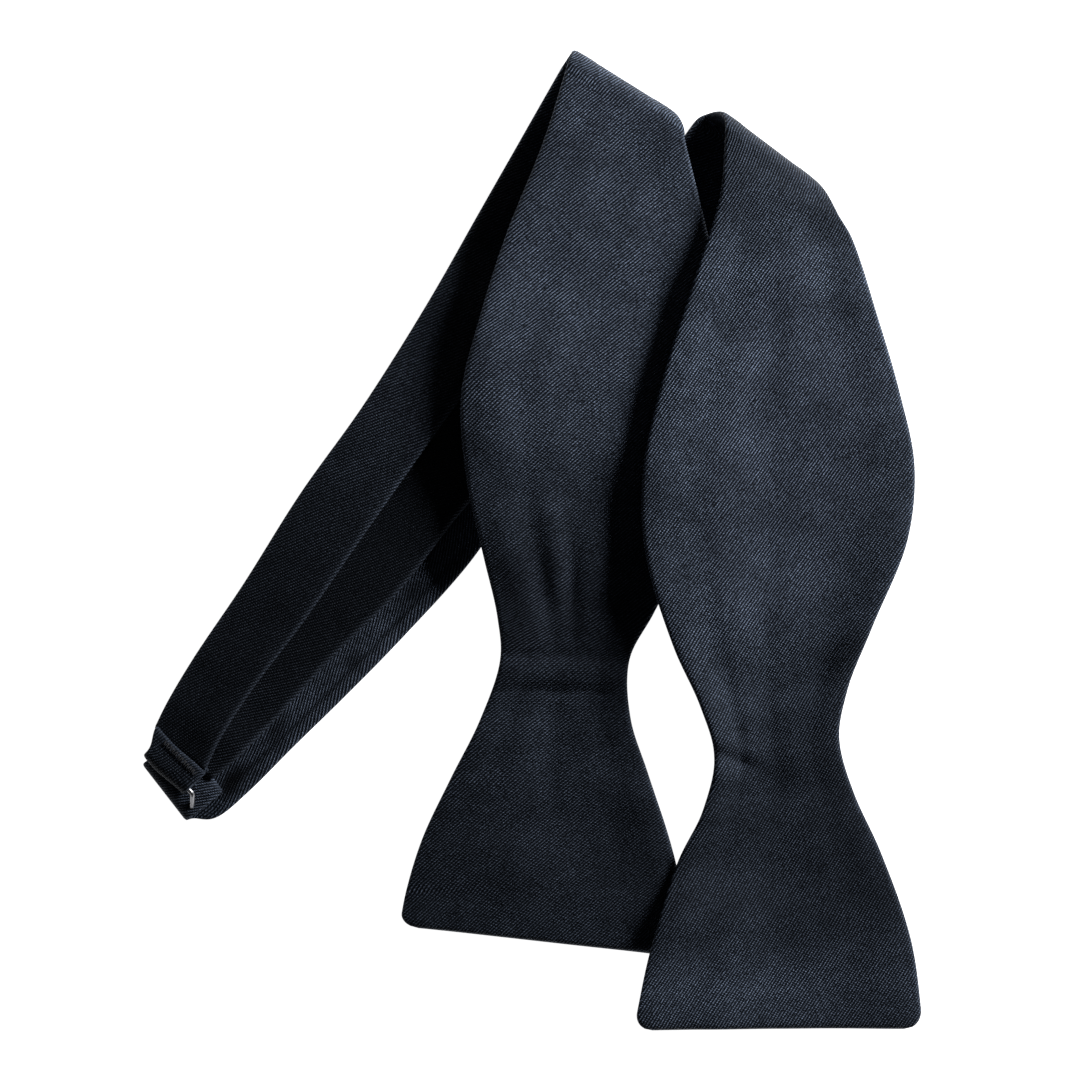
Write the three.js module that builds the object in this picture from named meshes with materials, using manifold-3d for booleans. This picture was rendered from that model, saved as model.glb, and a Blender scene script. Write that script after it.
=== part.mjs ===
// Self-tie bow tie with an adjustable neckband, laid out untied: each half is one long strip of doubled
// twill with an interlining, folded over once between its neckband and its blade. The two neckbands are
// hooked together at the lower left. Millimetres, +Z up, the table at z = 0.
import * as THREE from "three";
import { mergeVertices } from "three/addons/utils/BufferGeometryUtils.js";
import Module from "manifold-3d";

// Cloth build-up, from one side of a strip to the other: cloth, interlining, cloth.
const CLOTH = 0.4;
const PLY_GAP = 0.25;
const STRIP = 3 * CLOTH + 2 * PLY_GAP;
const SINGLE = 1.1;
const END_GAP = 0.3;
const INTERLINING_INSET = 1.2;
const BLADE_CORNER = 5;

// Hook wire, and the room that the turned band ends leave round it.
const WIRE = 0.65;
const LOOP_ROOM = 1.0;
const LOOP_OUTER = LOOP_ROOM + SINGLE;
const RIGHT_LEAF = 9.4;
const LEFT_LEAF_BELOW = 5.6;
const LEFT_LEAF_ABOVE = 5;

// Slide adjuster on the lower band.
const SLIDE_AT = new THREE.Vector2(4, 43);
const SLIDE_ANGLE = THREE.MathUtils.degToRad(46.05);
const SLIDE_LENGTH = 13;
const SLIDE_INNER = 21.2;
const SLIDE_RAIL = 1.2;
const SLIDE_BAR = 2.0;
const SLIDE_LOW = 0.85;
const SLIDE_PLATE = 0.8;
const SLIDE_TOP = 5.45;
const TURNED_LEAF = 0.6;
const TURNED_WIDTH = 16;
const TURNED_LENGTH = 8;
const RETURN_TACK = [1.2, 12, SLIDE_PLATE];
const RETURN_TACK_AT = -5.5;

// Shift that brings the middle of the whole outline over the origin.
const CENTRE = new THREE.Vector3(0.29, 0.12, 0);

const blackTwill = () => new THREE.MeshStandardMaterial({ color: 0x20242d, roughness: 0.62, metalness: 0 });
const canvas = () => new THREE.MeshStandardMaterial({ color: 0x3a3a3c, roughness: 0.9, metalness: 0 });
const thread = () => new THREE.MeshStandardMaterial({ color: 0x14161b, roughness: 0.5, metalness: 0 });
const steel = () => new THREE.MeshStandardMaterial({ color: 0x9aa0a8, roughness: 0.25, metalness: 1 });

// Stations along a strip: left and right edge, each as x, y and the height of the underside. The left and
// right of a strip are as seen from its fold, looking down its length with the cloth on the table.
const RIGHT_BAND = [
  [[43.3, 109.8, 0], [62.5, 95.4, 0]],
  [[36, 100, 0], [52.5, 82.5, 0]],
  [[20.5, 81.5, 0], [36.5, 65.5, 0]],
  [[10.4, 61.4, 2.8], [23.6, 48.6, 2.8]],
  [[-8, 43.3, 2.8], [5.2, 30.6, 2.8]],
  [[-31, 22.2, 1.5], [-16.6, 8.9, 1.6]],
  [[-47.4, 0.4, 1.35], [-33.9, -13, 1.5]],
  [[-63.5, -18.5, 1.5], [-52, -31.1, 1.5]],
  [[-79, -34, 2], [-66.2, -46.6, 2]],
  [[-88, -43.5, 3.1], [-76.5, -57, 3.1]],
  [[-93.5, -49.5, 3.1], [-83, -62.5, 3.1]],
];
const RETURN_RUN = [
  [[-8.3, 42.4, 0], [3.9, 30.6, 0]],
  [[-19, 21, 0], [-6, 10, 0]],
  [[-28.5, 6, 0], [-14.5, -4, 0]],
  [[-46, -14, 0], [-33.9, -25.9, 0]],
  [[-61.4, -29.7, 0], [-49.4, -41.7, 0]],
  [[-74.3, -42.3, 0], [-62.3, -54.3, 0]],
  [[-86, -49, 0], [-73.5, -65.5, 0]],
  [[-99.6, -57.2, 0], [-88.8, -71.1, 0]],
];
const LEFT_BAND = [
  [[8.5, 123.8, 0], [29.7, 108.7, 0]],
  [[-2.5, 104.5, 0], [17.5, 91, 0]],
  [[-15, 82.3, 1.5], [3, 70, 1.5]],
  [[-26.4, 62, 3.3], [-9, 49.5, 3.3]],
  [[-43.5, 34.7, 3.7], [-27, 24.2, 3.7]],
  [[-59.7, 12, 3.6], [-43.5, 0.8, 3.6]],
  [[-74.5, -11.5, 3.6], [-59, -21.5, 3.6]],
  [[-87.6, -31.1, 4.4], [-72.5, -39.5, 4.4]],
  [[-94, -42, 5.1], [-80.5, -52, 5.1]],
  [[-96.2, -47.9, 5.1], [-84.2, -59.9, 5.1]],
];
const LEFT_BLADE = [
  [[9.6, 123, 5.7], [38.6, 102.3, 5.7]],
  [[3.5, 103.1, 5.8], [43, 88, 5.8]],
  [[-6.5, 78, 5.8], [48, 66, 5.8]],
  [[-13.3, 56.6, 5.8], [51, 48, 5.8]],
  [[-18, 37, 5.8], [51.3, 33, 5.8]],
  [[-16.6, 15, 5.8], [47.5, 15, 5.8]],
  [[-12.3, -4.5, 5.8], [39.5, -3, 5.8]],
  [[-8.8, -20, 5], [31.5, -19, 5]],
  [[-8.1, -31, 3.8], [25.3, -31, 3.8]],
  [[-13.3, -46.6, 2.6], [25.6, -46, 2.6]],
  [[-21, -62, 1.2], [30, -60, 1.2]],
  [[-28.3, -77.5, 0.2], [35.6, -77, 0.2]],
  [[-32.5, -91, 0], [39, -91, 0]],
  [[-34.3, -100.3, 0], [41.3, -108.5, 0]],
];
const RIGHT_BLADE = [
  [[49.7, 105, 6.9], [78.4, 83.3, 6.9]],
  [[48.3, 88.5, 7.5], [82, 77.5, 7.5]],
  [[40.9, 64.4, 8], [88.3, 58.5, 8]],
  [[33.5, 41, 8], [94.3, 38, 8]],
  [[28.5, 17.5, 8], [98.2, 18.5, 8]],
  [[29, -3, 8], [96.4, 0, 8]],
  [[36.2, -27.2, 7.6], [87.5, -22.5, 7.2]],
  [[43.2, -42.7, 6.5], [81.5, -39, 5.5]],
  [[47, -56, 5], [79.6, -51.5, 4]],
  [[44.2, -69.8, 3.6], [83.5, -65.5, 2]],
  [[37.8, -83.2, 2.7], [90.5, -81, 0.8]],
  [[30.6, -105.9, 2.2], [98.3, -103.5, 0]],
  [[26.2, -126.3, 2.2], [101.6, -126.8, 0]],
];

// Folds: the axis of the roll starts at `at` and runs along `angle`; `edges` gives how far along the axis
// the strip's left and right edges are at the bottom, outermost line and top of the roll.
const RIGHT_FOLD = {
  at: new THREE.Vector3(46.5, 107.4, 4.3),
  angle: THREE.MathUtils.degToRad(-37),
  inner: 2.6,
  edges: [[-4, 0, 4], [20, 26, 40]],
};
const LEFT_FOLD = {
  at: new THREE.Vector3(8.5, 123.8, 3.7),
  angle: THREE.MathUtils.degToRad(-35.5),
  inner: 2.0,
  edges: [[0, 0.5, 1.3], [26, 31, 37]],
};

// Band ends: the turn of each end runs along `angle` from `at`, the strip comes in from the other side.
const RIGHT_END = { at: new THREE.Vector3(-99.8, -57.4, 2.1), angle: THREE.MathUtils.degToRad(-52.2), width: 13 };
const LEFT_END = { at: new THREE.Vector3(-98.3, -54.5, 7.2), angle: THREE.MathUtils.degToRad(-45.6), width: 13.2 };

// The hook's wire: along the upper band's turn, down beside both bands, and back along the lower one's.
const HOOK_POINTS = [
  new THREE.Vector3(-96.8, -55.9, 7.2),
  new THREE.Vector3(-87.3, -65.4, 7.2),
  new THREE.Vector3(-88.1, -70.9, 2.1),
  new THREE.Vector3(-98.0, -58.9, 2.1),
];
const HOOK_BEND = 1.6;

const group = new THREE.Group();

function addNode(name, geometry, material) {
  const mesh = new THREE.Mesh(geometry, material);
  mesh.name = name;
  group.add(mesh);
  return mesh;
}

// The strip's three plies as [name, low, high, inset], counted from the side that is outside at the fold.
const PLIES = [
  ["front", 0, CLOTH, 0],
  ["interlining", CLOTH + PLY_GAP, 2 * CLOTH + PLY_GAP, INTERLINING_INSET],
  ["back", STRIP - CLOTH, STRIP, 0],
];

// A closed body whose box coordinates (u, v, w) are carried to place(u, v, w); `lengths` holds the values
// of u where the body has a row of vertices.
function mapped(lengths, across, place) {
  const geometry = new THREE.BoxGeometry(1, 1, 1, lengths.length - 1, across, 1);
  const position = geometry.getAttribute("position");
  const point = new THREE.Vector3();
  for (let i = 0; i < position.count; i++) {
    const row = Math.round((position.getX(i) + 0.5) * (lengths.length - 1));
    place(lengths[row], position.getY(i) + 0.5, position.getZ(i) + 0.5, point);
    position.setXYZ(i, point.x, point.y, point.z);
  }
  geometry.deleteAttribute("normal");
  geometry.deleteAttribute("uv");
  const closed = mergeVertices(geometry, 1e-4);
  closed.computeVertexNormals();
  return closed;
}

// An edge of a strip: a smooth curve in plan, whose height eases from one station to the next.
function edgeCurve(stations, side) {
  const points = stations.map((station) => new THREE.Vector3(station[side][0], station[side][1], 0));
  const plan = new THREE.CatmullRomCurve3(points, false, "centripetal");
  const heights = stations.map((station) => station[side][2]);
  const last = heights.length - 1;
  const getPoint = (u, point) => {
    plan.getPoint(u, point);
    const i = Math.min(last - 1, Math.floor(u * last));
    const ease = THREE.MathUtils.smoothstep(u * last - i, 0, 1);
    point.z = THREE.MathUtils.lerp(heights[i], heights[i + 1], ease);
  };
  return { getPoint, length: plan.getLength() };
}

const evenly = (count, from = 0, to = 1) =>
  Array.from({ length: count + 1 }, (_, i) => from + ((to - from) * i) / count);

// One ply of a strip that lies along stations, between the heights low and high over its underside. A
// corner radius rounds the two corners at its far end.
function flatPly(stations, low, high, inset, rows, across, corner = 0) {
  const left = edgeCurve(stations, 0);
  const right = edgeCurve(stations, 1);
  const length = left.length;
  const a = new THREE.Vector3();
  const b = new THREE.Vector3();
  const start = END_GAP / length;
  const straight = 1 - corner / length;
  const turns = [0.5, 0.8, 0.95, 1].map((k) => straight + (1 - straight) * k);
  const lengths = corner ? [...evenly(rows, start, straight), ...turns] : evenly(rows, start, 1);
  return mapped(lengths, across, (u, v, w, point) => {
    left.getPoint(u, a);
    right.getPoint(u, b);
    const width = a.distanceTo(b);
    const past = Math.max(0, corner - (1 - u) * length);
    const rounding = corner - Math.sqrt(Math.max(0, corner * corner - past * past));
    const margin = (inset + rounding) / width;
    point.lerpVectors(a, b, margin + v * (1 - 2 * margin));
    point.z += low + w * (high - low);
  });
}

// One ply of the roll, a half turn round the fold's axis from under it to over it.
function rollPly(fold, low, high, inset, rows) {
  const along = new THREE.Vector3(Math.cos(fold.angle), Math.sin(fold.angle), 0);
  const out = new THREE.Vector3(-along.y, along.x, 0);
  const edge = ([bottom, middle, top], s) =>
    middle + ((top - bottom) / 2) * s + ((top + bottom) / 2 - middle) * s * s;
  return mapped(evenly(rows, -1, 1), 1, (s, v, w, point) => {
    const turn = (s * Math.PI) / 2;
    const radius = fold.inner + low + w * (high - low);
    const from = edge(fold.edges[0], s) + inset;
    const to = edge(fold.edges[1], s) - inset;
    point.copy(fold.at);
    point.addScaledVector(along, from + v * (to - from));
    point.addScaledVector(out, radius * Math.cos(turn));
    point.z += radius * Math.sin(turn);
  });
}

// A U of cloth round a bar, as an outline in (inward, up) that is carried along the bar's direction: the
// turn is centred on the bar, with leaves of the given lengths below and above.
function turnedEnd(end, inner, thickness, below, above) {
  const outer = inner + thickness;
  const shape = new THREE.Shape();
  shape.moveTo(below, -outer);
  shape.lineTo(0, -outer);
  shape.absarc(0, 0, outer, -Math.PI / 2, -Math.PI * 1.5, true);
  shape.lineTo(above, outer);
  shape.lineTo(above, inner);
  shape.lineTo(0, inner);
  shape.absarc(0, 0, inner, Math.PI / 2, Math.PI * 1.5, false);
  shape.lineTo(below, -inner);
  shape.closePath();
  const geometry = new THREE.ExtrudeGeometry(shape, { depth: end.width, bevelEnabled: false, curveSegments: 8 });
  const along = new THREE.Vector3(Math.cos(end.angle), Math.sin(end.angle), 0);
  const inward = new THREE.Vector3(-along.y, along.x, 0);
  const up = new THREE.Vector3(0, 0, 1);
  geometry.applyMatrix4(new THREE.Matrix4().makeBasis(inward, up, along));
  geometry.translate(end.at.x, end.at.y, end.at.z);
  return geometry;
}

function addStrip(side, band, blade, fold) {
  for (const [ply, low, high, inset] of PLIES) {
    const material = ply === "interlining" ? canvas : blackTwill;
    addNode(`${side}_band_${ply}`, flatPly(band, low, high, inset, 20, 1), material());
    addNode(`${side}_fold_${ply}`, rollPly(fold, STRIP - high, STRIP - low, inset, 10), material());
    addNode(`${side}_blade_${ply}`, flatPly(blade, STRIP - high, STRIP - low, inset, 26, 4, BLADE_CORNER), material());
  }
}

addStrip("right", RIGHT_BAND, RIGHT_BLADE, RIGHT_FOLD);
addStrip("left", LEFT_BAND, LEFT_BLADE, LEFT_FOLD);
addNode("return_run", flatPly(RETURN_RUN, 0, SINGLE, 0, 14, 1), blackTwill());
addNode("right_end_loop", turnedEnd(RIGHT_END, LOOP_ROOM, SINGLE, 0, RIGHT_LEAF), blackTwill());
addNode(
  "left_end_loop",
  turnedEnd(LEFT_END, LOOP_ROOM, SINGLE, LEFT_LEAF_BELOW, LEFT_LEAF_ABOVE),
  blackTwill(),
);

// A box set square to a frame that stands at `at` and is turned by `angle`.
function boxAt(at, angle, size, centre) {
  const geometry = new THREE.BoxGeometry(...size);
  geometry.translate(...centre);
  geometry.rotateZ(angle);
  geometry.translate(at.x, at.y, at.z || 0);
  return geometry;
}

const TACK = 0.3;
const LEFT_TACK = [0.8, 11, TACK];
const LEFT_TACK_AT = [3.8, -LEFT_END.width / 2, LOOP_OUTER + END_GAP + TACK / 2];
addNode(
  "left_end_bartack",
  boxAt(LEFT_END.at, LEFT_END.angle + Math.PI / 2, LEFT_TACK, LEFT_TACK_AT),
  thread(),
);

function addHook() {
  const path = new THREE.CurvePath();
  const bends = HOOK_POINTS.slice(1, -1);
  let from = HOOK_POINTS[0];
  bends.forEach((corner, i) => {
    const next = HOOK_POINTS[i + 2];
    const entry = corner.clone().addScaledVector(from.clone().sub(corner).normalize(), HOOK_BEND);
    const leave = corner.clone().addScaledVector(next.clone().sub(corner).normalize(), HOOK_BEND);
    path.add(new THREE.LineCurve3(from, entry));
    path.add(new THREE.QuadraticBezierCurve3(entry, corner, leave));
    from = leave;
  });
  path.add(new THREE.LineCurve3(from, HOOK_POINTS[HOOK_POINTS.length - 1]));
  const section = new THREE.Shape();
  section.absarc(0, 0, WIRE, 0, 2 * Math.PI, false);
  const wire = new THREE.ExtrudeGeometry(section, { steps: 30, extrudePath: path, curveSegments: 5 });
  addNode("neck_hook", wire, steel());
}
addHook();

const wasm = await Module();
wasm.setup();

function toSolid(geometry) {
  const bare = geometry.clone();
  bare.deleteAttribute("normal");
  bare.deleteAttribute("uv");
  const merged = mergeVertices(bare, 1e-4);
  return new wasm.Manifold(
    new wasm.Mesh({
      numProp: 3,
      vertProperties: new Float32Array(merged.getAttribute("position").array),
      triVerts: new Uint32Array(merged.index.array),
    }),
  );
}

function fromSolid(solid) {
  const mesh = solid.getMesh();
  const geometry = new THREE.BufferGeometry();
  geometry.setAttribute("position", new THREE.BufferAttribute(mesh.vertProperties, 3));
  geometry.setIndex(new THREE.BufferAttribute(mesh.triVerts, 1));
  geometry.computeVertexNormals();
  return geometry;
}

// The slide: a low middle bar that the turned end of the return run holds, side rails past the band's
// edges, and two bars over the band.
function addSlide() {
  const height = SLIDE_TOP - SLIDE_LOW;
  const across = SLIDE_INNER + 2 * SLIDE_RAIL;
  const railAt = (SLIDE_INNER + SLIDE_RAIL) / 2;
  const place = (size, centre) => boxAt(SLIDE_AT, SLIDE_ANGLE, size, centre);
  const barAt = (SLIDE_LENGTH - SLIDE_BAR) / 2;
  const top = SLIDE_TOP - SLIDE_PLATE / 2 + 0.05;
  const pieces = [
    place([SLIDE_BAR, across, SLIDE_PLATE], [0, 0, SLIDE_LOW + SLIDE_PLATE / 2]),
    ...[-railAt, railAt].map((y) => place([SLIDE_LENGTH, SLIDE_RAIL, height], [0, y, SLIDE_LOW + height / 2])),
    ...[-barAt, barAt].map((x) => place([SLIDE_BAR, across, SLIDE_PLATE - 0.1], [x, 0, top])),
  ];
  const whole = pieces.map(toSolid).reduce((made, next) => made.add(next));
  addNode("slide_adjuster", fromSolid(whole), steel());

  const end = {
    at: new THREE.Vector3(SLIDE_AT.x, SLIDE_AT.y, SLIDE_LOW + SLIDE_PLATE / 2),
    angle: SLIDE_ANGLE + Math.PI / 2,
    width: TURNED_WIDTH,
  };
  const outward = new THREE.Vector2(Math.cos(SLIDE_ANGLE), Math.sin(SLIDE_ANGLE));
  end.at.x += outward.x * (SLIDE_BAR / 2) + outward.y * (TURNED_WIDTH / 2);
  end.at.y += outward.y * (SLIDE_BAR / 2) - outward.x * (TURNED_WIDTH / 2);
  const inner = SLIDE_PLATE / 2 + PLY_GAP;
  addNode("return_end_loop", turnedEnd(end, inner, TURNED_LEAF, TURNED_LENGTH, TURNED_LENGTH), blackTwill());
  addNode("return_bartack", place(RETURN_TACK, [RETURN_TACK_AT, 0, SLIDE_LOW + SLIDE_PLATE / 2]), thread());
}
addSlide();

group.position.copy(CENTRE);

export default group;
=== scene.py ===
"""Self-tie bow tie with an adjustable neckband, laid out untied: its cloths, threads and metal pieces."""

import math

import bpy
import numpy as np
from bpy.props import FloatProperty, FloatVectorProperty, PointerProperty
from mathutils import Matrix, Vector


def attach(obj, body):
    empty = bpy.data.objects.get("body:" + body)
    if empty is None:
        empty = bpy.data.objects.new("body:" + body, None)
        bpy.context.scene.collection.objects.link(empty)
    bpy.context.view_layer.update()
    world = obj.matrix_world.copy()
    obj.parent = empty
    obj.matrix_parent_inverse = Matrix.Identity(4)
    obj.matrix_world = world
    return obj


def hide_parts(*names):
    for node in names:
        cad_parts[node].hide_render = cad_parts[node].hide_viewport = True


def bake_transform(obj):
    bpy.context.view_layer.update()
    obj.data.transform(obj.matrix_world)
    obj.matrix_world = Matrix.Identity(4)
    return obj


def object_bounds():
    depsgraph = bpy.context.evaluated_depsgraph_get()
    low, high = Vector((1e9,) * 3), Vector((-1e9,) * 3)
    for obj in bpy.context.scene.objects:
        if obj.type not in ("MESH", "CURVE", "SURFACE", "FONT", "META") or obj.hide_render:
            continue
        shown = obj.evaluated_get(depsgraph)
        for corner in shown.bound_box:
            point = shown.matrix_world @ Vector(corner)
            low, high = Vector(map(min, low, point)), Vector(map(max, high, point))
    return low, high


bl_info = {
    "name": "Self-Tie Bow Tie",
    "version": (1, 0, 0),
    "blender": (4, 5, 0),
    "location": "View3D > Sidebar > Bow Tie",
    "description": "Builds an untied bow tie of doubled twill round its packed frame",
    "category": "Object",
}

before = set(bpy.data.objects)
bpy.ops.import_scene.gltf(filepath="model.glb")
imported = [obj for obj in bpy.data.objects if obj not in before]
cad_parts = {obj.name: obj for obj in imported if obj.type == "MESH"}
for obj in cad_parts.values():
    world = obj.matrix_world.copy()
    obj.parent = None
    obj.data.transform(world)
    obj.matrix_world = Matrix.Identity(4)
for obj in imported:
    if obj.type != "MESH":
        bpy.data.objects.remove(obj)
CAD_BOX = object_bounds()

MM = 0.001
CENTRE = np.array([0.29, 0.12, 0.0])

# Stations along a strip in millimetres: left and right edge, each as x, y and the height of the underside.
RIGHT_BAND = [
    [[43.3, 109.8, 0], [62.5, 95.4, 0]],
    [[36, 100, 0], [52.5, 82.5, 0]],
    [[20.5, 81.5, 0], [36.5, 65.5, 0]],
    [[10.4, 61.4, 2.8], [23.6, 48.6, 2.8]],
    [[-12, 46.5, 2.8], [5.2, 30.6, 2.8]],
    [[-34, 25, 1.6], [-16.6, 8.9, 1.6]],
    [[-49, 2, 1.5], [-33.9, -13, 1.5]],
    [[-63.5, -18.5, 1.5], [-52, -31.1, 1.5]],
    [[-79, -34, 2], [-66.2, -46.6, 2]],
    [[-88, -43.5, 3.1], [-76.5, -57, 3.1]],
    [[-93.5, -49.5, 3.1], [-83, -62.5, 3.1]],
]
RETURN_RUN = [
    [[-8.3, 42.4, 0], [3.9, 30.6, 0]],
    [[-19, 21, 0], [-6, 10, 0]],
    [[-28.5, 6, 0], [-14.5, -4, 0]],
    [[-46, -14, 0], [-33.9, -25.9, 0]],
    [[-61.4, -29.7, 0], [-49.4, -41.7, 0]],
    [[-74.3, -42.3, 0], [-62.3, -54.3, 0]],
    [[-86, -49, 0], [-73.5, -65.5, 0]],
    [[-93, -53.3, 0], [-82.4, -72.6, 0]],
    [[-99.6, -57.2, 0], [-88.4, -72.6, 0]],
]
LEFT_BAND = [
    [[8.5, 123.8, 0], [30.2, 110.2, 0]],
    [[-2.5, 104.5, 0], [17.5, 91, 0]],
    [[-15, 82.3, 1.5], [3, 70, 1.5]],
    [[-26.4, 62, 3.3], [-9, 49.5, 3.3]],
    [[-43.5, 34.7, 3.7], [-27, 24.2, 3.7]],
    [[-59.7, 12, 3.6], [-43.5, 0.8, 3.6]],
    [[-74.5, -11.5, 3.6], [-59, -21.5, 3.6]],
    [[-87.6, -31.1, 4.4], [-72.5, -39.5, 4.4]],
    [[-94, -42, 5.1], [-80.5, -52, 5.1]],
    [[-97.6, -49.3, 5.1], [-84.2, -59.9, 5.1]],
]
LEFT_BLADE = [
    [[9.6, 123, 5.7], [38.9, 104.2, 5.7]],
    [[3.5, 103.1, 5.8], [43, 88, 5.8]],
    [[-6.5, 78, 5.8], [48, 66, 5.8]],
    [[-13.3, 56.6, 5.8], [51, 48, 5.8]],
    [[-18, 37, 5.8], [51.3, 33, 5.8]],
    [[-16.6, 15, 5.8], [47.5, 15, 5.8]],
    [[-12.3, -4.5, 5.8], [39.5, -3, 5.8]],
    [[-8.8, -20, 5], [31.5, -19, 5]],
    [[-8.1, -31, 3.8], [25.3, -31, 3.8]],
    [[-13.3, -46.6, 2.6], [25.6, -46, 2.6]],
    [[-21, -62, 1.2], [30, -60, 1.2]],
    [[-28.3, -77.5, 0.2], [35.6, -77, 0.2]],
    [[-32.5, -91, 0], [39, -91, 0]],
    [[-34.3, -100.3, 0], [41.3, -108.5, 0]],
]
RIGHT_BLADE = [
    [[49.7, 105, 6.9], [78.4, 83.3, 6.9]],
    [[48.3, 88.5, 7.5], [82, 77.5, 7.5]],
    [[40.9, 64.4, 8], [88.3, 58.5, 8]],
    [[33.5, 41, 8], [94.3, 38, 8]],
    [[28.5, 17.5, 8], [98.2, 18.5, 8]],
    [[29, -3, 8], [96.4, 0, 8]],
    [[36.2, -27.2, 7.6], [87.5, -22.5, 7.2]],
    [[43.2, -42.7, 6.5], [81.5, -39, 5.5]],
    [[47, -56, 5], [79.6, -51.5, 4]],
    [[44.2, -69.8, 3.6], [83.5, -65.5, 2]],
    [[37.8, -83.2, 2.7], [90.5, -81, 0.8]],
    [[30.6, -105.9, 2.2], [98.3, -103.5, 0]],
    [[26.2, -126.3, 2.2], [101.6, -126.8, 0]],
]
# Each fold: where its roll's axis starts, the axis' angle in degrees, the radius inside it, half the height
# of its middle surface, and how far along the axis the strip's two edges are at the roll's bottom, outermost
# line and top.
RIGHT_FOLD = {
    "at": (46.5, 107.4, 4.3),
    "angle": -37.0,
    "inner": 2.6,
    "rise": 5.45,
    "edges": [[-4, 0, 4], [20, 29.5, 40]],
}
LEFT_FOLD = {
    "at": (8.5, 123.8, 3.7),
    "angle": -32,
    "inner": 2.0,
    "rise": 4.85,
    "edges": [[0, 0.5, 1.3], [26, 31, 37]],
}
# Turned band ends: where the turn's axis starts, its angle in degrees and the width of the cloth.
RIGHT_END = {"at": (-99.8, -57.4, 2.1), "angle": -52.2, "width": 18.6}
LEFT_END = {"at": (-98.6, -54.2, 7.2), "angle": -45.6, "width": 14.6}
SLIDE_AT = (4.0, 43.0)
SLIDE_ANGLE = 46.05
HOOK_POINTS = [(-96.8, -55.9, 7.2), (-87.3, -65.4, 7.2), (-88.1, -70.9, 2.1), (-98.0, -58.9, 2.1)]
# Half thicknesses of a doubled strip and of its interlining.
HALF_STRIP = 0.85
HALF_CANVAS = 0.2
# Middle radius of both turned band ends, and of the return strip's turn round the slide's bar.
TURN_RADIUS = 1.55
SLIDE_TURN_RADIUS = 0.95
# Height of the return strip's middle over its stations, and half its width at the slide.
RETURN_MIDDLE = 0.55
RETURN_HALF_WIDTH = 8.0
STITCH_HEIGHT = 0.28
BLADE_CORNER = 5.0
# Points along a strip's edge on each side of the fold, and round the fold.
EDGE_POINTS = 1200
ROLL_POINTS = 80
# Millimetres between a strip's rows, and where they are closer together at its folds and ends.
ROW_STEP = 1.25
FOLD_STEP = 0.5


# ---------------------------------------------------------------- shader maths


class Value:
    """A socket whose operators add the Math nodes of an expression."""

    def __init__(self, tree, socket):
        self.tree = tree
        self.socket = socket

    def _math(self, kind, *values):
        return self.tree.node("ShaderNodeMath", {"operation": kind}, dict(enumerate(values)))

    def __add__(self, other):
        return self._math("ADD", self, other)

    __radd__ = __add__

    def __sub__(self, other):
        return self._math("SUBTRACT", self, other)

    def __rsub__(self, other):
        return self._math("SUBTRACT", other, self)

    def __mul__(self, other):
        return self._math("MULTIPLY", self, other)

    def __pow__(self, other):
        return self._math("POWER", self, other)

    def sine(self):
        return self._math("SINE", self)

    def size(self):
        return self._math("ABSOLUTE", self)

    def clipped(self):
        return self.tree.node("ShaderNodeClamp", {}, {"Value": self})


class Finish:
    """A new material and the nodes of its one Principled shader."""

    def __init__(self, name):
        self.material = bpy.data.materials.new(name)
        self.material.use_nodes = True
        self.nodes = self.material.node_tree.nodes
        self.links = self.material.node_tree.links
        self.shader = self.nodes["Principled BSDF"]

    def node(self, kind, settings=None, sockets=None, out=0):
        """Adds a node, sets its settings and then its sockets, and gives one of its outputs."""
        made = self.nodes.new(kind)
        for name, value in (settings or {}).items():
            setattr(made, name, value)
        for name, value in (sockets or {}).items():
            self._put(made.inputs[name], value)
        return Value(self, made.outputs[out])

    def _put(self, socket, value):
        if isinstance(value, Value):
            self.links.new(value.socket, socket)
        elif isinstance(value, (tuple, list)) and len(value) == 3 and socket.type == "RGBA":
            socket.default_value = (*value, 1)
        else:
            socket.default_value = value

    def shade(self, **sockets):
        for name, value in sockets.items():
            self._put(self.shader.inputs[name.replace("_", " ")], value)

    def parts(self, vector):
        """The x, y and z of a vector."""
        split = self.nodes.new("ShaderNodeSeparateXYZ")
        self._put(split.inputs[0], vector)
        return [Value(self, s) for s in split.outputs]

    def colour_mix(self, share, first, second):
        settings = {"data_type": "RGBA", "blend_type": "MIX"}
        return self.node("ShaderNodeMix", settings, {0: share, 6: first, 7: second}, out=2)

    def place(self, output="Object"):
        return Value(self, self.nodes.new("ShaderNodeTexCoord").outputs[output])

    def weave(self):
        """The piece's own map: ribs counted across, and millimetres along the strip."""
        return self.node("ShaderNodeUVMap", {"uv_map": "weave"})

    def noise(self, vector, scale, detail=2.0, rough=0.5):
        sockets = {"Vector": vector, "Scale": scale, "Detail": detail, "Roughness": rough}
        return self.node("ShaderNodeTexNoise", {}, sockets)

    def bump(self, height, distance, strength=1.0):
        sockets = {"Height": height, "Distance": distance, "Strength": strength}
        return self.node("ShaderNodeBump", {}, sockets)


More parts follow.
